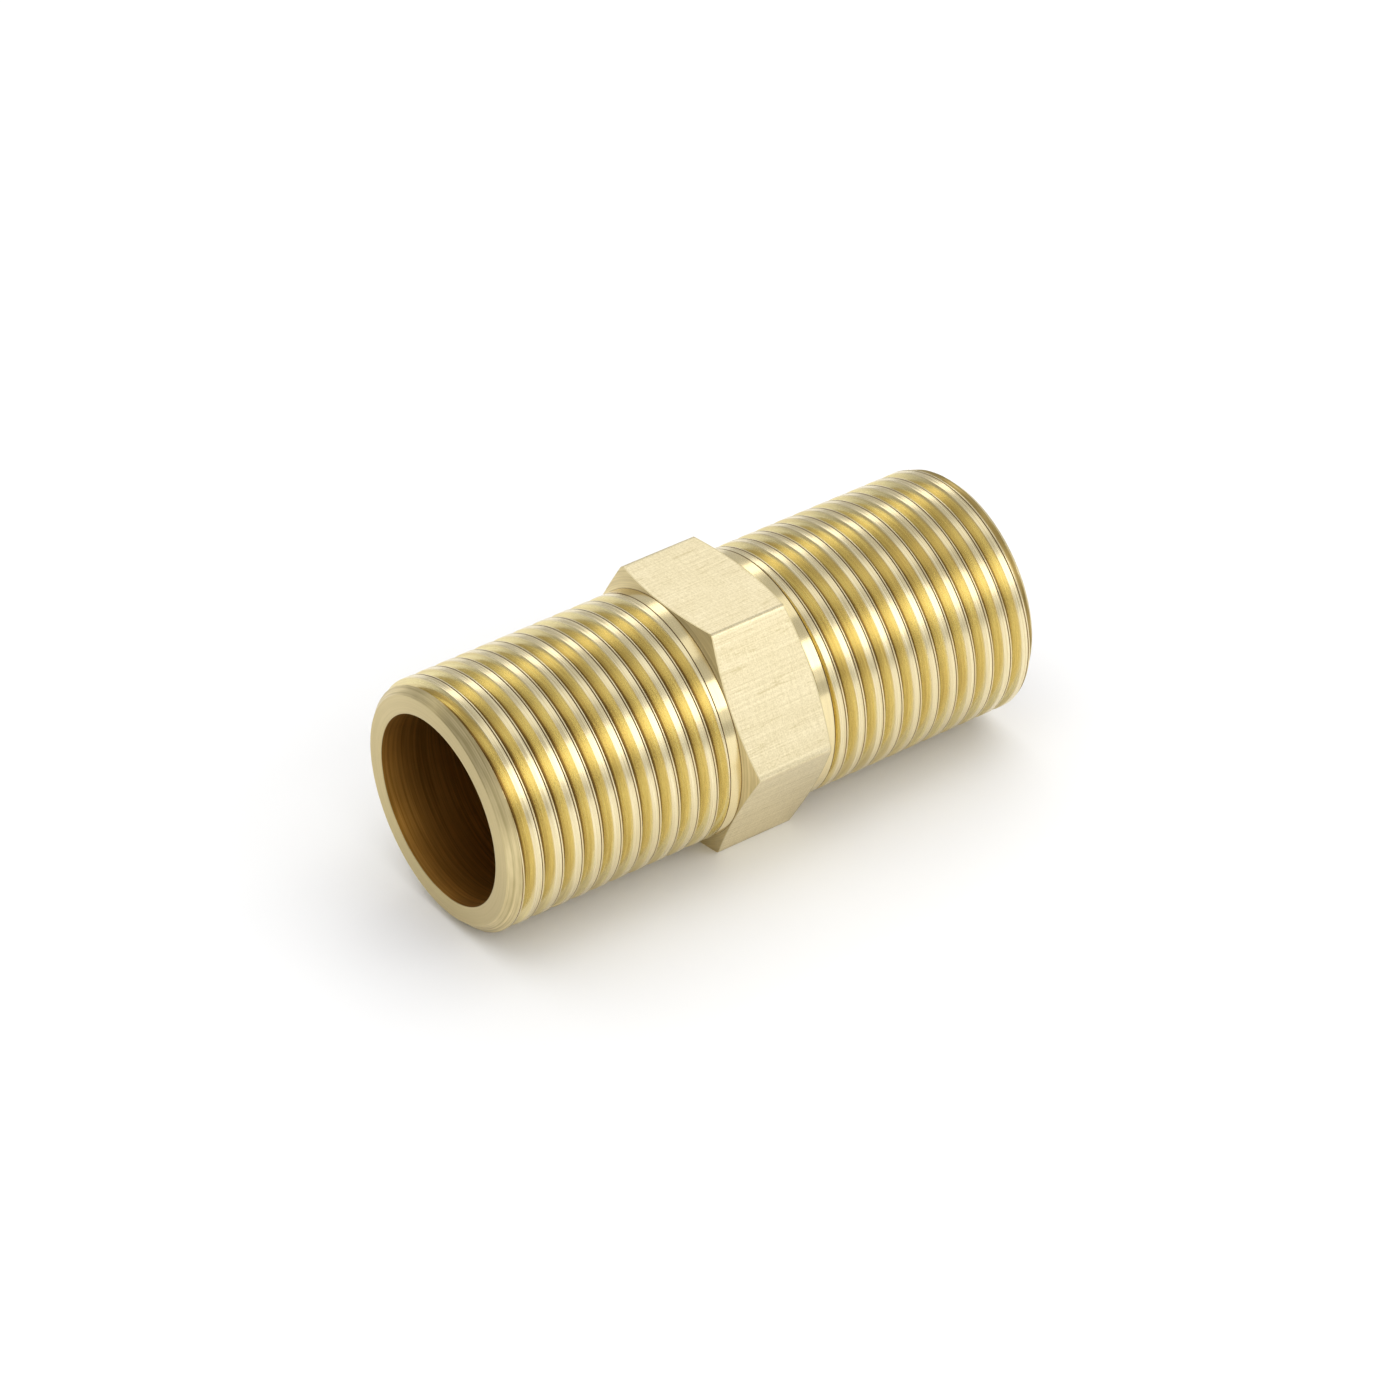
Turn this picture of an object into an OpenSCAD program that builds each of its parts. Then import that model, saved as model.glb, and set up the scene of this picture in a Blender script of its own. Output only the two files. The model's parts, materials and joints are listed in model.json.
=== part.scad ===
// Hex nipple: a straight coupling with a male G 1/2 thread at each end, turned from hexagonal brass bar.
// The bore runs along X, +Z is up, and the origin is on the bore axis at the middle of the hex.
// One of the hex flats faces straight down, which is how the nipple lies on a bench.
// The thread is drawn as a row of rings with the real pitch and flank angle. Its depth is an estimate.

/* [Whole nipple] */
// Length from one end face to the other
overall_length = 50.8; // [44:0.2:60]
// Diameter of the bore that water flows through
bore_diameter = 16; // [10:0.5:16.5]

/* [Hex] */
// Width across the flats, which is the size of the wrench
hex_across_flats = 21; // [21:0.5:27]
// Length of the hex, from the collar on one side to the collar on the other
hex_length = 8; // [6:0.5:14]
// Slope of the turned chamfer on the corners, measured from a plane square to the axis
hex_chamfer_angle = 18; // [10:1:35]

/* [Threaded ends] */
// Diameter over the crests of the thread, and of the plain collars beside the hex
thread_diameter = 20.9; // [20.6:0.05:20.95]
// Distance from one crest to the next, which is 25.4 mm / 14
thread_pitch = 1.814; // [1.7:0.001:1.9]
// Depth from crest to root, where the full form of the standard has 1.162 mm
thread_depth = 0.9; // [0.8:0.05:1.15]
// Width of the flat at the bottom of the groove
root_width = 0.2; // [0.15:0.01:0.4]
// Angle of each flank from a plane square to the axis
flank_angle = 27.5; // [25:0.5:30]
// Length of the plain collar between the hex and the thread
collar_length = 1.1; // [0.8:0.1:3]
// How far the chamfer on each end comes in from the crests, and back along the axis
end_chamfer = 0.9; // [0.5:0.05:1]

/* [Hidden] */

$fn = 144;

half_length = overall_length / 2;
thread_radius = thread_diameter / 2;
thread_start = hex_length / 2 + collar_length;
groove_count = floor((half_length - thread_start) / thread_pitch);

// How far a groove's mouth reaches to each side of its middle, at the crests
mouth_half = root_width / 2 + thread_depth * tan(flank_angle);

hex_corner_radius = hex_across_flats / sqrt(3);
// How far the chamfer has cut back along the axis where it reaches the corners
chamfer_rise = (hex_corner_radius - thread_radius) * tan(hex_chamfer_angle);

// Cutters overshoot the faces they cut through by this much
clear = 1;

// Sections are drawn with the radius along x and the nipple's axis along y.

// One thread groove, from its flat root out past the crests
module groove_section(middle) {
    outside = thread_radius + clear;
    reach = mouth_half + clear * tan(flank_angle);
    polygon([
        [thread_radius - thread_depth, middle - root_width / 2],
        [outside, middle - reach],
        [outside, middle + reach],
        [thread_radius - thread_depth, middle + root_width / 2]
    ]);
}

// The turned bar with a chamfer on each end, before it is threaded
module blank_section() {
    face_radius = thread_radius - end_chamfer;
    shoulder = half_length - end_chamfer;
    polygon([
        [0, -half_length],
        [face_radius, -half_length],
        [thread_radius, -shoulder],
        [thread_radius, shoulder],
        [face_radius, half_length],
        [0, half_length]
    ]);
}

// Stands a turned section up along X
module turned() {
    rotate([0, 90, 0]) rotate_extrude() children();
}

module threaded_bar() {
    turned() difference() {
        blank_section();
        for (side = [-1, 1], turn = [0 : groove_count - 1])
            groove_section(side * (thread_start + mouth_half + turn * thread_pitch));
    }
}

// The bar's hex, with its corners turned off on both ends
module hex() {
    intersection() {
        rotate([0, 90, 0]) rotate([0, 0, 30])
            cylinder(r = hex_corner_radius, h = hex_length, center = true, $fn = 6);
        turned() polygon([
            [0, -hex_length / 2],
            [thread_radius, -hex_length / 2],
            [hex_corner_radius, -hex_length / 2 + chamfer_rise],
            [hex_corner_radius + clear, -hex_length / 2 + chamfer_rise],
            [hex_corner_radius + clear, hex_length / 2 - chamfer_rise],
            [hex_corner_radius, hex_length / 2 - chamfer_rise],
            [thread_radius, hex_length / 2],
            [0, hex_length / 2]
        ]);
    }
}

module bore() {
    rotate([0, 90, 0])
        cylinder(d = bore_diameter, h = overall_length + 2 * clear, center = true);
}

// The whole fitting is one piece of metal
module nipple_body() {
    color("#d9c27a") difference() {
        union() {
            threaded_bar();
            hex();
        }
        bore();
    }
}

nipple_body();
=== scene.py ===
"""Hex nipple in free-cutting brass: a right-hand pipe thread at each end, a drawn hex, a drilled bore.

Metres, with the bore along X and +Z up through the middle of a hex flat. The left end is at -X.
An angle round the nipple starts at -Y and goes up towards +Z.
"""
import json
import math

import bpy
import bmesh
from mathutils import Matrix, Vector


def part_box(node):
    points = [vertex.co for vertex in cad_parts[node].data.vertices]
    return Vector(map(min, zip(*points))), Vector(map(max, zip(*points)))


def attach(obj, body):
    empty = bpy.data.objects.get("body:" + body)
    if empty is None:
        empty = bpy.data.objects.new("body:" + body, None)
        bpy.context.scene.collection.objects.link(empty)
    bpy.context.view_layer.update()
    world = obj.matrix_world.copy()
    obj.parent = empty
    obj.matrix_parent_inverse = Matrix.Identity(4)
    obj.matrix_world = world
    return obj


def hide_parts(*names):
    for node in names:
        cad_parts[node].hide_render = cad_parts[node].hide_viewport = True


MM = 0.001

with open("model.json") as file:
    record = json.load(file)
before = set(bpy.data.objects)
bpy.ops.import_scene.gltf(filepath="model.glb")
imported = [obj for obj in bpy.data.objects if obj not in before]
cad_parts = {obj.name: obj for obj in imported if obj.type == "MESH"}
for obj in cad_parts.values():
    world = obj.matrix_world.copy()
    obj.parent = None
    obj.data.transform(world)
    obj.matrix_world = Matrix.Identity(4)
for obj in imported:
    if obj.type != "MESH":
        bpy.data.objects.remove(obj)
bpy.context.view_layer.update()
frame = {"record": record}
mounts = {mount["name"]: mount for mount in frame["record"]["mounts"]}

# Sizes that the CAD part has settled
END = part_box("nipple_body")[1].x
COLLAR = mounts["right_collar"]
COLLAR_LENGTH = COLLAR["dims"]["length_mm"] * MM
CREST_RADIUS = COLLAR["dims"]["r_mm"] * MM
HEX_END = COLLAR["pos_m"][0] - COLLAR_LENGTH / 2
THREAD_START = HEX_END + COLLAR_LENGTH
BORE_RADIUS = mounts["flow_bore"]["dims"]["r_mm"] * MM
FLAT_HEIGHT = mounts["wrench_flat_top"]["pos_m"][2]

# The thread: 14 turns to the inch, with 55 degrees between the flanks
PITCH = 25.4 / 14 * MM
THREAD_DEPTH = 0.9 * MM
FLANK = math.tan(math.radians(27.5))
EDGE_ROUND = 0.035 * MM
ROOT_ROUND = 0.12 * MM
# The crest reaches further towards +X than towards -X
CREST_BEHIND = 0.23 * MM
CREST_AHEAD = 0.53 * MM
# A fine groove that the tool's corner leaves along the crest, with a thin lip past it
LIP_GROOVE = 0.375 * MM
LIP_GROOVE_HALF = 0.06 * MM
# How much the groove deepens for each step along the bar, where the tool draws out beside the collar
RUN_OUT = 6.0
# Where a crest stands at angle 0 on each end, counted from the middle of the nipple
CREST_OF_LEFT_END = 14.895 * MM
CREST_OF_RIGHT_END = 16.687 * MM

# The other cuts
END_CHAMFER = 0.9 * MM
HEX_CHAMFER = math.tan(math.radians(18))
BORE_BREAK = 0.06 * MM
CORNER_BREAK = 0.05 * MM
NECK_DEPTH = 0.06 * MM
NECK_HALF = 0.05 * MM

# Facets in each of the six sectors from corner to corner, crowded towards the corners
SECTOR_FACETS = 28
CROWDING = 0.8
# Edges that turn more than this stay sharp
SHARP = math.radians(34)

# What a band of the section is finished as
DRILLED, TURNED, THREADED, DRAWN = range(4)


def linear(colour, alpha=1.0):
    """An sRGB hex colour as linear light."""
    parts = [int(colour[i:i + 2], 16) / 255 for i in (1, 3, 5)]
    return tuple(c / 12.92 if c <= 0.04045 else ((c + 0.055) / 1.055) ** 2.4
                 for c in parts) + (alpha,)


def add(tree, kind, *links, **settings):
    """Adds a node with its settings and links, by place or in a dict by socket name.

    A kind in capitals is a math operation, such as "ADD".
    """
    made = tree.nodes.new("ShaderNodeMath" if kind.isupper() else kind)
    if kind.isupper():
        made.operation = kind
    for name, value in settings.items():
        setattr(made, name, value)
    named = links and isinstance(links[0], dict)
    for place, value in links[0].items() if named else enumerate(links):
        if isinstance(value, bpy.types.Node):
            value = value.outputs[0]
        if isinstance(value, bpy.types.NodeSocket):
            tree.links.new(value, made.inputs[place])
        else:
            made.inputs[place].default_value = value
    return made


# ---------------------------------------------------------------- materials

# Free-cutting brass, 58% copper: pale yellow where it is turned
BRASS = "#F3E2B1"
# The crest is painted a little paler, a painted reflection of the white light on its top
PAINTED_PALE_CREST = "#F6E9C0"
# Flanks look deeper, because metal reflects metal down in the groove
FLANK_BRASS = "#F3E5AD"
# The drawn skin of the bar, and the same skin in the low places
SKIN = "#F6EAC8"
SKIN_LOW = "#D3C499"
# Where the tool has torn the metal a little, it looks duller. On turned metal the same darker colour is also
# painted shade on the end faces and their chamfers.
TURNED_LINES_AND_SHADE = "#B9A878"
CREST_DULL = "#C9B27C"
# The bore is painted a darker brown than the brass outside: painted shade inside the bore
BORE = "#B48640"
BORE_SHADE_LINES = "#936A2A"
# Painted shade, darkening the colour in the neck, the corner by the hex, the thread roots and the fine
# groove on the crest
PAINTED_CREVICE_SHADE = "#7A5A24"


def round_the_axis(tree):
    """Where a point of the metal is, in millimetres: x, y, z and its radius from the axis."""
    place = add(tree, "ShaderNodeTexCoord").outputs["Object"]
    parts = add(tree, "ShaderNodeSeparateXYZ", place).outputs
    x, y, z = (add(tree, "MULTIPLY", parts[axis], 1 / MM) for axis in "XYZ")
    radius = add(tree, "SQRT", add(tree, "ADD", add(tree, "MULTIPLY", y, y), add(tree, "MULTIPLY", z, z)))
    return x, y, z, radius


def streaks(tree, place, per_mm, detail, fourth=None, rough=0.5):
    """Noise with so many marks to the millimetre along x, y and z, and along a fourth way if given."""
    scaled = [add(tree, "MULTIPLY", value, rate) for value, rate in zip(place, per_mm)]
    values = {"Vector": add(tree, "ShaderNodeCombineXYZ", *scaled), "Scale": 1.0, "Detail": detail,
              "Roughness": rough}
    if fourth is None:
        return add(tree, "ShaderNodeTexNoise", values)
    values["W"] = add(tree, "MULTIPLY", *fourth)
    return add(tree, "ShaderNodeTexNoise", values, noise_dimensions="4D")


def mixed(tree, share, low, high):
    """The colour between two others, each an sRGB hex colour or another mix."""
    ends = [value if isinstance(value, bpy.types.NodeSocket) else linear(value) for value in (low, high)]
    return add(tree, "ShaderNodeMix", {0: share, 6: ends[0], 7: ends[1]}, data_type="RGBA").outputs[2]


def finish_metal(tree, shader, colour, relief, strength, height):
    """Joins a colour and a fine relief, in metres, to the metal's shader."""
    tree.links.new(colour, shader.inputs["Base Color"])
    bump = add(tree, "ShaderNodeBump", {"Strength": strength, "Distance": height, "Height": relief})
    tree.links.new(bump.outputs[0], shader.inputs["Normal"])


def turned_finish(tree, shader):
    """Turned with a fine feed: bright, with lines round the axis, and rougher on faces and chamfers; the end
    faces and their chamfers are darkened in colour as painted shade, and the hex chamfers are darker too.
    """
    x, y, z, radius = round_the_axis(tree)
    # The feed is near 0.1 mm a turn; lines 0.14 mm apart are as fine as the eye still finds them
    lines = streaks(tree, (x, y, z), (7.0, 0.08, 0.08), 2.0, (radius, 7.0), 0.6)
    broad = streaks(tree, (x, y, z), (1.6, 0.3, 0.3), 2.0, (radius, 1.6), 0.6)
    away = add(tree, "ABSOLUTE", x)
    crest, end = CREST_RADIUS / MM, END / MM
    faced = add(tree, "GREATER_THAN", away, end - 0.02)
    rim = add(tree, "SUBTRACT", add(tree, "GREATER_THAN", away, end - END_CHAMFER / MM - 0.05), faced)
    ended = add(tree, "ADD", faced, rim)
    chamfered = add(tree, "GREATER_THAN", radius, crest + 0.02)

    # Lines bite deeper on the chamfers
    strength = add(tree, "ADD", add(tree, "MULTIPLY", rim, 0.5), add(tree, "MULTIPLY", chamfered, 0.3))
    strength = add(tree, "ADD", 0.12, strength)
    marks = add(tree, "ADD", lines, add(tree, "MULTIPLY", broad, 0.6))
    marks = add(tree, "MULTIPLY", add(tree, "SUBTRACT", marks, 0.8), 3.0)
    # Painted shade: the end face and its chamfer are darkened in colour, and the hex chamfers a little
    end_shade_and_chamfer_tone = add(tree, "MULTIPLY", add(tree, "ADD", ended, add(tree, "MULTIPLY", chamfered, 0.5)), 0.6)
    tone = add(tree, "SUBTRACT", 0.92, end_shade_and_chamfer_tone)
    tone = add(tree, "ADD", tone, add(tree, "MULTIPLY", marks, strength), use_clamp=True)

    # Painted shade in the neck at the end of the collar, and in the corner where the collar meets the hex
    inside = add(tree, "LESS_THAN", away, THREAD_START / MM)
    neck = add(tree, "MULTIPLY", add(tree, "LESS_THAN", radius, crest - 0.008), inside)
    from_hex = add(tree, "ABSOLUTE", add(tree, "SUBTRACT", away, HEX_END / MM))
    corner = add(tree, "MULTIPLY", add(tree, "LESS_THAN", from_hex, 0.06),
                 add(tree, "LESS_THAN", radius, crest + 0.03))
    crevice_shade_share = add(tree, "MAXIMUM", add(tree, "MULTIPLY", neck, 0.9), add(tree, "MULTIPLY", corner, 0.7))

    finish_metal(tree, shader, mixed(tree, crevice_shade_share, mixed(tree, tone, TURNED_LINES_AND_SHADE, BRASS), PAINTED_CREVICE_SHADE), lines, 0.4, 0.012 * MM)
    rough = add(tree, "ADD", add(tree, "MULTIPLY", ended, 0.22), add(tree, "MULTIPLY", chamfered, 0.28))
    rough = add(tree, "ADD", rough, add(tree, "MULTIPLY", broad, 0.12))
    tree.links.new(add(tree, "ADD", rough, 0.14).outputs[0], shader.inputs["Roughness"])
    # Light spreads across the lines, which run round the axis
    shader.inputs["Anisotropic"].default_value = 0.8
    shader.inputs["Anisotropic Rotation"].default_value = 0.25
    tangent = add(tree, "ShaderNodeTangent", direction_type="RADIAL", axis="X")
    tree.links.new(tangent.outputs[0], shader.inputs["Tangent"])


def drawn_finish(tree, shader):
    """Drawn through a die: satin and pale, with faint lines along the bar, cross marks and fine grain."""
    x, y, z, radius = round_the_axis(tree)
    # Real draw lines are a few hundredths apart; these are as coarse as they need to be to show
    draw = streaks(tree, (x, y, z), (0.1, 6.0, 6.0), 3.0)
    cross = streaks(tree, (x, y, z), (9.0, 0.6, 0.6), 2.0)
    grain = streaks(tree, (x, y, z), (9.0, 9.0, 9.0), 2.0)
    # A score is where a slow wave along the bar passes one height
    wave = streaks(tree, (x, y, z), (0.1, 1.9, 1.9), 1.0)
    from_score = add(tree, "ABSOLUTE", add(tree, "SUBTRACT", wave, 0.6))
    score = add(tree, "ShaderNodeMapRange", from_score, 0.0, 0.02, 1.0, 0.0)
    height = add(tree, "ADD", add(tree, "MULTIPLY", draw, 0.6), add(tree, "MULTIPLY", cross, 0.35))
    height = add(tree, "ADD", height, add(tree, "MULTIPLY", grain, 0.8))
    height = add(tree, "SUBTRACT", height, add(tree, "MULTIPLY", score, 0.25))

    # A flat ends in a fine burr, 0.1 mm wide, beside the chamfer
    rise = add(tree, "MULTIPLY", add(tree, "SUBTRACT", radius, CREST_RADIUS / MM), HEX_CHAMFER)
    edge = add(tree, "SUBTRACT", HEX_END / MM, rise)
    inside = add(tree, "SUBTRACT", edge, add(tree, "ABSOLUTE", x))
    burr = add(tree, "ShaderNodeMapRange", inside, 0.05, 0.12, 1.0, 0.0)
    tone = add(tree, "ShaderNodeMapRange", height, 0.6, 1.2, 0.0, 1.0)
    tone = add(tree, "SUBTRACT", tone, burr, use_clamp=True)
    finish_metal(tree, shader, mixed(tree, tone, SKIN_LOW, SKIN), height, 0.25, 0.014 * MM)
    shader.inputs["Roughness"].default_value = 0.34


def threaded_finish(tree, shader):
    """Cut by a thread tool, with lines along the helix: a crest painted paler and flanks painted deeper
    gold, as painted reflection, and painted shade in the root, low on the flanks and in the fine groove.
    """
    x, y, z, radius = round_the_axis(tree)
    pitch, full_depth = PITCH / MM, THREAD_DEPTH / MM
    left_start = pitch / 2 - CREST_OF_LEFT_END / MM
    right_start = CREST_OF_RIGHT_END / MM
    right = add(tree, "GREATER_THAN", x, 0)
    start = add(tree, "ADD", add(tree, "MULTIPLY", right, right_start - left_start), left_start)
    turn = add(tree, "DIVIDE", add(tree, "ARCTAN2", z, add(tree, "MULTIPLY", y, -1)), math.tau)
    turns = add(tree, "ADD", add(tree, "DIVIDE", add(tree, "SUBTRACT", x, start), pitch), turn)
    # Distance along the axis from the crest
    part = add(tree, "SUBTRACT", add(tree, "FRACT", add(tree, "ADD", turns, 0.5)), 0.5)
    beside = add(tree, "MULTIPLY", part, pitch)
    # Lines follow the helix, 0.1 mm apart
    lines = streaks(tree, (beside, y, z), (10.0, 0.16, 0.16), 2.0, (x, 0.12), 0.6)

    # Painted shade: the colour darkens at the root, on the flanks near it and in the fine groove along the
    # crest
    depth = add(tree, "SUBTRACT", CREST_RADIUS / MM, radius)
    root = add(tree, "ShaderNodeMapRange", depth, full_depth - 0.12, full_depth - 0.04, 0.0, 0.92)
    low = add(tree, "ShaderNodeMapRange", depth, full_depth - 0.5, full_depth - 0.05, 0.0, 0.16)
    from_groove = add(tree, "ABSOLUTE", add(tree, "SUBTRACT", beside, LIP_GROOVE / MM))
    groove = add(tree, "ShaderNodeMapRange", from_groove, 0.025, 0.065, 0.95, 0.0)
    crevice_shade_share = add(tree, "MAXIMUM", add(tree, "MAXIMUM", root, low), groove)

    # Painted reflection: the colour goes from the pale crest to the deeper gold flanks with depth
    deep = add(tree, "ShaderNodeMapRange", depth, 0.02, 0.12, 0.0, 1.0)
    torn = add(tree, "ShaderNodeMapRange", lines, 0.35, 0.65, 0.5, 0.0)
    metal = mixed(tree, torn, mixed(tree, deep, PAINTED_PALE_CREST, FLANK_BRASS), CREST_DULL)
    finish_metal(tree, shader, mixed(tree, crevice_shade_share, metal, PAINTED_CREVICE_SHADE), lines, 0.35, 0.012 * MM)
    rough = add(tree, "ShaderNodeMapRange", lines, 0.3, 0.7, 0.2, 0.3)
    tree.links.new(rough.outputs[0], shader.inputs["Roughness"])


def drilled_finish(tree, shader):
    """Drilled and left as it is, with scratches round the bore; its brown colours are painted shade inside
    the bore.
    """
    x, y, z, radius = round_the_axis(tree)
    lines = streaks(tree, (x, y, z), (5.0, 0.1, 0.1), 2.0, (radius, 5.0), 0.6)
    tone = add(tree, "ShaderNodeMapRange", lines, 0.35, 0.65, 0.0, 1.0)
    finish_metal(tree, shader, mixed(tree, tone, BORE_SHADE_LINES, BORE), lines, 0.25, 0.02 * MM)
    shader.inputs["Roughness"].default_value = 0.5


def brass(name, build):
    material = bpy.data.materials.new(name)
    material.use_nodes = True
    shader = material.node_tree.nodes["Principled BSDF"]
    shader.inputs["Metallic"].default_value = 1.0
    build(material.node_tree, shader)
    return material


FINISHES = {
    DRILLED: brass("brass, drilled", drilled_finish),
    TURNED: brass("brass, turned", turned_finish),
    THREADED: brass("brass, cut thread", threaded_finish),
    DRAWN: brass("brass, cold drawn bar", drawn_finish),
}


# ---------------------------------------------------------------- the metal

def section_line(name, rows):
    """A line through the section's points. Each row is x, radius, finish, winds and cut."""
    mesh = bpy.data.meshes.new(name)
    mesh.from_pydata([(r[0], r[1], 0) for r in rows], [(i, i + 1) for i in range(len(rows) - 1)], [])
    for place, label in enumerate(("finish", "winds", "cut"), start=2):
        values = mesh.attributes.new(label, "FLOAT", "POINT")
        values.data.foreach_set("value", [float(r[place]) for r in rows])
    line = bpy.data.objects.new(name, mesh)
    bpy.context.scene.collection.objects.link(line)
    return line


def new_tree(name, sizes):
    tree = bpy.data.node_groups.new(name, "GeometryNodeTree")
    tree.interface.new_socket("Section", in_out="INPUT", socket_type="NodeSocketGeometry")
    for label, value in sizes.items():
        kind = "NodeSocketInt" if isinstance(value, int) else "NodeSocketFloat"
        tree.interface.new_socket(label, in_out="INPUT", socket_type=kind).default_value = value
    tree.interface.new_socket("Surface", in_out="OUTPUT", socket_type="NodeSocketGeometry")
    return tree, add(tree, "NodeGroupInput"), add(tree, "NodeGroupOutput")


def section_value(tree, section, label, row):
    """What the section carries under a label, at a row."""
    field = add(tree, "GeometryNodeInputNamedAttribute", {"Name": label}, data_type="FLOAT")
    return add(tree, "GeometryNodeSampleIndex", {"Geometry": section, "Index": row, "Value": field},
               data_type="FLOAT", domain="POINT")


def section_place(tree, section, row):
    """The section's x and radius at a row."""
    place = add(tree, "GeometryNodeInputPosition")
    point = add(tree, "GeometryNodeSampleIndex", {"Geometry": section, "Index": row, "Value": place},
                data_type="FLOAT_VECTOR", domain="POINT")
    parts = add(tree, "ShaderNodeSeparateXYZ", point)
    return parts.outputs["X"], parts.outputs["Y"]


def grid_round_axis(tree, section, facets, crowding):
    """A grid with a row for each point of the section, and its columns' turn round the axis."""
    rows = add(tree, "GeometryNodeAttributeDomainSize", section, component="MESH").outputs["Point Count"]
    around = add(tree, "MULTIPLY", facets, 6)
    columns = add(tree, "ADD", around, 1)
    grid = add(tree, "GeometryNodeMeshGrid", {"Vertices X": rows, "Vertices Y": columns})
    index = add(tree, "GeometryNodeInputIndex")
    middle = add(tree, "ADD", index, 0.5)
    row = add(tree, "FLOOR", add(tree, "DIVIDE", middle, columns))
    face_row = add(tree, "FLOOR", add(tree, "DIVIDE", middle, around))
    column = add(tree, "SUBTRACT", index, add(tree, "MULTIPLY", row, columns))
    sectors = add(tree, "DIVIDE", column, facets)
    sector = add(tree, "FLOOR", sectors)
    share = add(tree, "SUBTRACT", sectors, sector)
    wave = add(tree, "MULTIPLY", add(tree, "SINE", add(tree, "MULTIPLY", share, math.tau)), crowding)
    share = add(tree, "SUBTRACT", share, add(tree, "DIVIDE", wave, math.tau))
    turn = add(tree, "DIVIDE", add(tree, "ADD", sector, share), 6)
    return grid, row, turn, face_row


def place_and_finish(tree, grid, section, x, radius, turn, face_row):
    """Stands the grid round the axis and gives each band its finish."""
    angle = add(tree, "MULTIPLY", turn, math.tau)
    forward = add(tree, "MULTIPLY", radius, add(tree, "COSINE", angle))
    y = add(tree, "MULTIPLY", forward, -1)
    z = add(tree, "MULTIPLY", radius, add(tree, "SINE", angle))
    place = add(tree, "ShaderNodeCombineXYZ", x, y, z)
    surface = add(tree, "GeometryNodeSetPosition", {"Geometry": grid, "Position": place})
    finish = section_value(tree, section, "finish", face_row)
    surface = add(tree, "GeometryNodeRealizeInstances", surface)
    for number, material in FINISHES.items():
        chosen = add(tree, "FunctionNodeCompare", {"A": finish, "B": float(number), "Epsilon": 0.1},
                     data_type="FLOAT", operation="EQUAL")
        surface = add(tree, "GeometryNodeSetMaterial",
                      {"Geometry": surface, "Selection": chosen, "Material": material})
    return surface


def thread_depth(tree, size, x, turn):
    """How deep the thread is cut at a point of the bar."""
    # Distance along the nipple's X from the nearest crest, which wraps at a root
    along = add(tree, "SUBTRACT", x, size["Crest at"])
    turns = add(tree, "ADD", add(tree, "DIVIDE", along, size["Pitch"]), turn)
    part = add(tree, "SUBTRACT", add(tree, "FRACT", add(tree, "ADD", turns, 0.5)), 0.5)
    beside = add(tree, "MULTIPLY", add(tree, "MULTIPLY", part, size["Pitch"]), size["Side"])
    uneven = add(tree, "SUBTRACT", size["Crest ahead"], size["Crest behind"])
    wrap = add(tree, "MULTIPLY", add(tree, "ADD", uneven, size["Pitch"]), 0.5)
    beside = add(tree, "WRAP", beside, wrap, add(tree, "SUBTRACT", wrap, size["Pitch"]))

    # A flank falls away on each side of the crest, down to the root
    behind = add(tree, "SUBTRACT", add(tree, "MULTIPLY", beside, -1), size["Crest behind"])
    ahead = add(tree, "SUBTRACT", beside, size["Crest ahead"])
    behind, ahead = (add(tree, "DIVIDE", past, size["Flank slope"]) for past in (behind, ahead))
    behind, ahead = (add(tree, "SMOOTH_MAX", fall, 0.0, size["Rounding"]) for fall in (behind, ahead))
    depth = add(tree, "MAXIMUM", behind, ahead)
    depth = add(tree, "SMOOTH_MIN", depth, size["Depth"], size["Root rounding"])
    from_groove = add(tree, "ABSOLUTE", add(tree, "SUBTRACT", beside, size["Groove at"]))
    depth = add(tree, "MAXIMUM", depth, add(tree, "SUBTRACT", size["Groove half"], from_groove))

    # It runs out beside the collar
    shoulder = add(tree, "MULTIPLY", add(tree, "SUBTRACT", x, size["Cut from"]), RUN_OUT)
    return add(tree, "MINIMUM", depth, shoulder)


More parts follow.
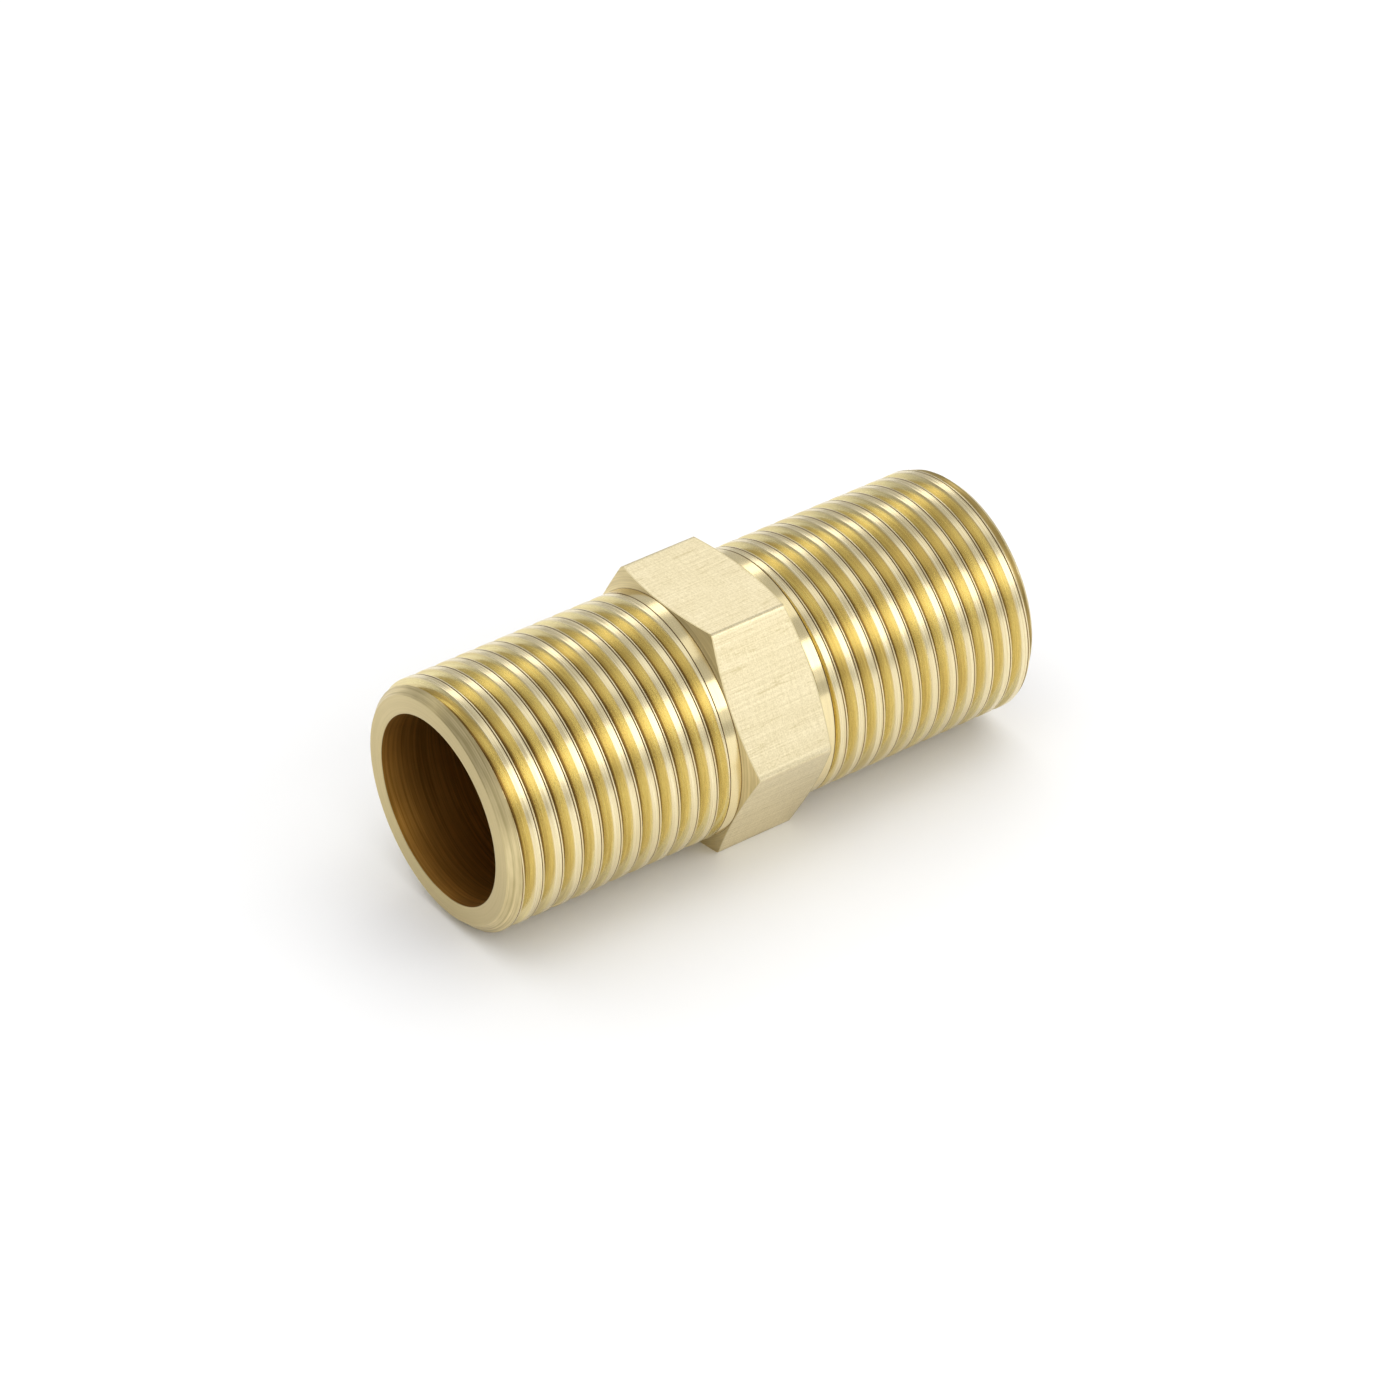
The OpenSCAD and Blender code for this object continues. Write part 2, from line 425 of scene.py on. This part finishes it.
def threaded_end_tree():
    """Turns a section round the bore and cuts a right-hand thread where the section says so."""
    tree, given, result = new_tree("threaded end", {
        "Facets": SECTOR_FACETS, "Crowding": CROWDING, "Crest radius": CREST_RADIUS, "Pitch": PITCH,
        "Depth": THREAD_DEPTH, "Flank slope": FLANK, "Crest at": 0.0, "Side": 1.0,
        "Crest behind": CREST_BEHIND, "Crest ahead": CREST_AHEAD,
        "Groove at": LIP_GROOVE, "Groove half": LIP_GROOVE_HALF,
        "Cut from": THREAD_START, "Wind from": 0.0, "Wind to": 0.0, "End": END,
        "End chamfer": END_CHAMFER, "Rounding": EDGE_ROUND, "Root rounding": ROOT_ROUND})
    size = given.outputs
    section = size["Section"]
    grid, row, turn, face_row = grid_round_axis(tree, section, size["Facets"], size["Crowding"])
    line_x, line_radius = section_place(tree, section, row)
    winds, cut = (section_value(tree, section, label, row) for label in ("winds", "cut"))

    # Rows of the thread step along the helix, and stop at the plain turned rows on each side
    wound = add(tree, "SUBTRACT", line_x, add(tree, "MULTIPLY", size["Pitch"], turn))
    wound = add(tree, "MINIMUM", add(tree, "MAXIMUM", wound, size["Wind from"]), size["Wind to"])
    x = add(tree, "ShaderNodeMix", {"Factor": winds, "A": line_x, "B": wound}, data_type="FLOAT")

    bar = add(tree, "SUBTRACT", size["Crest radius"], thread_depth(tree, size, x, turn))
    face = add(tree, "SUBTRACT", size["Crest radius"], size["End chamfer"])
    chamfer = add(tree, "ADD", face, add(tree, "SUBTRACT", size["End"], x))
    bar = add(tree, "MINIMUM", bar, chamfer)
    radius = add(tree, "ShaderNodeMix", {"Factor": cut, "A": line_radius, "B": bar}, data_type="FLOAT")
    surface = place_and_finish(tree, grid, section, x, radius, turn, face_row)
    tree.links.new(surface.outputs[0], result.inputs[0])
    return tree


def hex_tree():
    """Draws the hex between the collars, with its corners turned off on both ends."""
    tree, given, result = new_tree("drawn hex", {
        "Facets": SECTOR_FACETS, "Crowding": CROWDING, "Flat height": FLAT_HEIGHT,
        "Collar radius": CREST_RADIUS, "Half length": HEX_END, "Chamfer slope": HEX_CHAMFER,
        "Corner break": CORNER_BREAK})
    size = given.outputs
    section = size["Section"]
    grid, row, turn, face_row = grid_round_axis(tree, section, size["Facets"], size["Crowding"])
    along, out = section_place(tree, section, row)

    # Radius of the hex at this angle, with the corners slightly broken
    share = add(tree, "FRACT", add(tree, "MULTIPLY", turn, 6))
    from_flat = add(tree, "MULTIPLY", add(tree, "SUBTRACT", share, 0.5), math.tau / 6)
    outline = add(tree, "DIVIDE", size["Flat height"], add(tree, "COSINE", from_flat))
    corner = add(tree, "DIVIDE", size["Flat height"], math.cos(math.pi / 6))
    corner = add(tree, "SUBTRACT", corner, size["Corner break"])
    outline = add(tree, "SMOOTH_MIN", outline, corner, add(tree, "MULTIPLY", size["Corner break"], 1.5))

    # Section rows say how far out from the collar, and how far along from chamfer to chamfer
    step = add(tree, "SUBTRACT", outline, size["Collar radius"])
    radius = add(tree, "ADD", size["Collar radius"], add(tree, "MULTIPLY", step, out))
    rise = add(tree, "SUBTRACT", radius, size["Collar radius"])
    rise = add(tree, "MULTIPLY", rise, size["Chamfer slope"])
    x = add(tree, "MULTIPLY", add(tree, "SUBTRACT", size["Half length"], rise), along)
    surface = place_and_finish(tree, grid, section, x, radius, turn, face_row)
    tree.links.new(surface.outputs[0], result.inputs[0])
    return tree


def grow(line, tree, values, matrix=None):
    """Runs a tree on a section line and gives back the mesh."""
    modifier = line.modifiers.new(tree.name, "NODES")
    modifier.node_group = tree
    for item in tree.interface.items_tree:
        if item.in_out == "INPUT" and item.name in values:
            modifier[item.identifier] = values[item.name]
    line.update_tag()
    bpy.context.view_layer.update()
    evaluated = line.evaluated_get(bpy.context.evaluated_depsgraph_get())
    mesh = bpy.data.meshes.new_from_object(evaluated)
    bpy.data.objects.remove(line)
    if matrix:
        mesh.transform(matrix)
    return mesh


def spread(start, stop, count):
    return [start + (stop - start) * i / (count - 1) for i in range(count)]


def thread_steps(side):
    """Where the rows of one turn stand, from crest to crest, close together at each edge of the cut."""
    fine, middling, wide = 0.012 * MM, 0.055 * MM, 0.1 * MM
    ahead, behind = CREST_AHEAD, PITCH - CREST_BEHIND
    foot_ahead, foot_behind = ahead + THREAD_DEPTH * FLANK, behind - THREAD_DEPTH * FLANK
    steps = [0, LIP_GROOVE * 0.43, LIP_GROOVE - LIP_GROOVE_HALF, LIP_GROOVE, LIP_GROOVE + LIP_GROOVE_HALF,
             ahead - middling / 2, ahead + fine, ahead + middling, foot_ahead - middling, foot_ahead - fine,
             (foot_ahead + foot_behind) / 2, foot_behind + fine, foot_behind + middling,
             (behind + foot_behind) / 2, behind - middling / 2, behind, behind + middling / 2, PITCH - wide]
    if side < 0:
        steps = [0] + [PITCH - s for s in steps[:0:-1]]
    return steps


def threaded_end_rows(crest_at, side):
    """The section of one end, from the middle of the bore out and back to the hex."""
    rows = [(x, BORE_RADIUS, DRILLED, 0, 0) for x in spread(0, END - BORE_BREAK, 8)]
    rows[-1] = rows[-1][:2] + (TURNED, 0, 0)
    rows.append((END - BORE_BREAK * 0.3, BORE_RADIUS + BORE_BREAK * 0.35, TURNED, 0, 0))
    face = CREST_RADIUS - END_CHAMFER
    rows += [(END, r, TURNED, 0, 0) for r in spread(BORE_RADIUS + BORE_BREAK, face - 0.3 * MM, 4)]
    # The chamfer on the end, in even steps
    rows += [(x, 0, TURNED, 0, 1) for x in spread(END, END - END_CHAMFER, 21)[:-1]]
    # The thread winds between its run-out and the chamfer
    wind_from, wind_to = THREAD_START + 0.24 * MM, END - END_CHAMFER
    first = math.ceil((wind_to + PITCH - crest_at) / PITCH)
    last = math.floor((wind_from - crest_at) / PITCH) - 1
    for turn in range(first, last, -1):
        rows += [(crest_at + turn * PITCH + step, 0, THREADED, 1, 1) for step in thread_steps(side)[::-1]]
    # The run-out, the neck at the end of the collar, and the collar
    rows += [(x, 0, THREADED, 0, 1) for x in spread(wind_from, THREAD_START, 10)[1:-1]]
    rows += [(THREAD_START, CREST_RADIUS, TURNED, 0, 0),
             (THREAD_START - NECK_HALF, CREST_RADIUS - NECK_DEPTH, TURNED, 0, 0),
             (THREAD_START - 2 * NECK_HALF, CREST_RADIUS, TURNED, 0, 0),
             (HEX_END + 0.04 * MM, CREST_RADIUS, TURNED, 0, 0),
             (HEX_END, CREST_RADIUS, TURNED, 0, 0)]
    return rows, wind_from, wind_to


def hex_rows():
    """The hex from one collar to the other: out along a chamfer, along the bar, and in again."""
    rows = [(1, out, TURNED, 0, 0) for out in (0, 0.25, 0.5, 0.75, 0.95)]
    rows += [(along, 1, DRAWN, 0, 0) for along in spread(1, -1, 17)]
    rows[-1] = rows[-1][:2] + (TURNED, 0, 0)
    rows += [(-1, out, TURNED, 0, 0) for out in (0.95, 0.75, 0.5, 0.25, 0)]
    return rows


def make_nipple():
    """Grows both threaded ends and the hex, and welds them into one piece of metal."""
    end_tree, middle_tree = threaded_end_tree(), hex_tree()
    half_turn = Matrix.Rotation(math.pi, 4, "Z")
    parts = []
    for name, crest_at, side, matrix in (("left end", CREST_OF_LEFT_END, -1, half_turn),
                                         ("right end", CREST_OF_RIGHT_END, 1, None)):
        rows, wind_from, wind_to = threaded_end_rows(crest_at, side)
        values = {"Crest at": crest_at, "Side": float(side), "Wind from": wind_from, "Wind to": wind_to}
        parts.append(grow(section_line(name, rows), end_tree, values, matrix))
    parts.append(grow(section_line("hex", hex_rows()), middle_tree, {}))

    slots = list(FINISHES.values())
    joined = bmesh.new()
    for mesh in parts:
        for face in mesh.polygons:
            face.material_index = slots.index(mesh.materials[face.material_index])
        joined.from_mesh(mesh)
    bmesh.ops.remove_doubles(joined, verts=joined.verts, dist=0.0008 * MM)
    bmesh.ops.dissolve_degenerate(joined, edges=joined.edges, dist=0.0002 * MM)
    bmesh.ops.recalc_face_normals(joined, faces=joined.faces)
    for face in joined.faces:
        face.smooth = True
    for edge in joined.edges:
        edge.smooth = len(edge.link_faces) == 2 and edge.calc_face_angle() < SHARP
    mesh = bpy.data.meshes.new("nipple")
    joined.to_mesh(mesh)
    joined.free()
    for material in slots:
        mesh.materials.append(material)
    nipple = bpy.data.objects.new("nipple", mesh)
    bpy.context.scene.collection.objects.link(nipple)
    return nipple


nipple = make_nipple()
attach(nipple, "root")
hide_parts("nipple_body")


# ---------------------------------------------------------------- floor, light and camera

# How bright the white tent is on each side
TENT_LEFT, TENT_RIGHT = 0.42, 0.62
# The camera's bearing from -Y towards -X, its height and its tilt, in degrees
CAMERA_TURN, CAMERA_RISE, CAMERA_TILT = 34.364, 35.281, -1.925
# How far off it stands, and how far to its own left and down
CAMERA_AWAY, CAMERA_LEFT, CAMERA_DOWN = 423.75 * MM, 0.437 * MM, 0.429 * MM
# Focal length and frame width, both in the camera's own millimetres
CAMERA_LENS, CAMERA_FILM = 137.44, 36


def plain_floor():
    material = bpy.data.materials.new("white paper floor")
    material.use_nodes = True
    shader = material.node_tree.nodes["Principled BSDF"]
    shader.inputs["Base Color"].default_value = linear("#F4F4F4")
    shader.inputs["Roughness"].default_value = 0.9
    mesh = bpy.data.meshes.new("floor")
    side = 3.0
    mesh.from_pydata([(-side, -side, -FLAT_HEIGHT), (side, -side, -FLAT_HEIGHT),
                      (side, side, -FLAT_HEIGHT), (-side, side, -FLAT_HEIGHT)], [], [(0, 1, 2, 3)])
    mesh.materials.append(material)
    floor = bpy.data.objects.new("floor", mesh)
    bpy.context.scene.collection.objects.link(floor)


def softbox(name, bearing, distance, width, length, brightness, along=0.2):
    """A soft box over the nipple. Bearing is the angle round the bore's axis at which it stands."""
    light = bpy.data.lights.new(name, "AREA")
    light.shape = "RECTANGLE"
    light.size, light.size_y = length, width
    light.energy = brightness * math.pi * width * length
    lamp = bpy.data.objects.new(name, light)
    angle = math.radians(bearing)
    away = Vector((0, -math.cos(angle), math.sin(angle)))
    side = Vector((1, 0, 0))
    lamp.matrix_world = Matrix((side, away.cross(side), away)).transposed().to_4x4()
    lamp.matrix_world.translation = away * distance + side * along
    lamp.visible_camera = False
    bpy.context.scene.collection.objects.link(lamp)
    return lamp


def studio():
    """A white tent with three soft boxes along the nipple, and a broad fill that lights the floor."""
    world = bpy.data.worlds.new("white tent")
    world.use_nodes = True
    tree = world.node_tree
    background = tree.nodes["Background"]
    # The tent is brighter on the right than on the left
    way = add(tree, "ShaderNodeSeparateXYZ", add(tree, "ShaderNodeTexCoord").outputs["Generated"])
    glow = add(tree, "ShaderNodeMapRange", way.outputs["X"], -1.0, 1.0, TENT_LEFT, TENT_RIGHT)
    tree.links.new(glow.outputs[0], background.inputs["Strength"])
    background.inputs["Color"].default_value = (1, 1, 1, 1)
    bpy.context.scene.world = world
    # Each edge is the dimmer border of its box
    softbox("front box", 36.5, 0.5, 0.225, 1.0, 1.5)
    softbox("front box's edge", 20, 0.5, 0.14, 1.0, 0.3)
    softbox("top box", 83, 0.5, 0.2, 1.0, 0.5)
    softbox("rear box", 134.5, 0.5, 0.13, 1.0, 1.0)
    softbox("rear box's edge", 133, 0.52, 0.22, 1.0, 0.25)
    fill = softbox("fill from far above", 90, 1.6, 2.4, 2.4, 0.9, along=0.0)
    fill.visible_glossy = False
    bpy.context.scene.view_settings.view_transform = "Standard"


def camera():
    """A long lens from the front left and above, level to within two degrees."""
    azimuth, elevation, roll = (math.radians(v) for v in (CAMERA_TURN, CAMERA_RISE, CAMERA_TILT))
    back = Vector((-math.sin(azimuth) * math.cos(elevation), -math.cos(azimuth) * math.cos(elevation),
                   math.sin(elevation)))
    right = Vector((math.cos(azimuth), -math.sin(azimuth), 0))
    up = back.cross(right)
    side = right * math.cos(roll) + up * math.sin(roll)
    top = up * math.cos(roll) - right * math.sin(roll)
    data = bpy.data.cameras.new("camera")
    data.sensor_width = CAMERA_FILM
    data.lens = CAMERA_LENS
    data.clip_start, data.clip_end = 0.01, 20
    made = bpy.data.objects.new("camera", data)
    made.matrix_world = Matrix((side, top, back)).transposed().to_4x4()
    made.matrix_world.translation = back * CAMERA_AWAY - side * CAMERA_LEFT - top * CAMERA_DOWN
    bpy.context.scene.collection.objects.link(made)
    bpy.context.scene.camera = made


plain_floor()
studio()
camera()
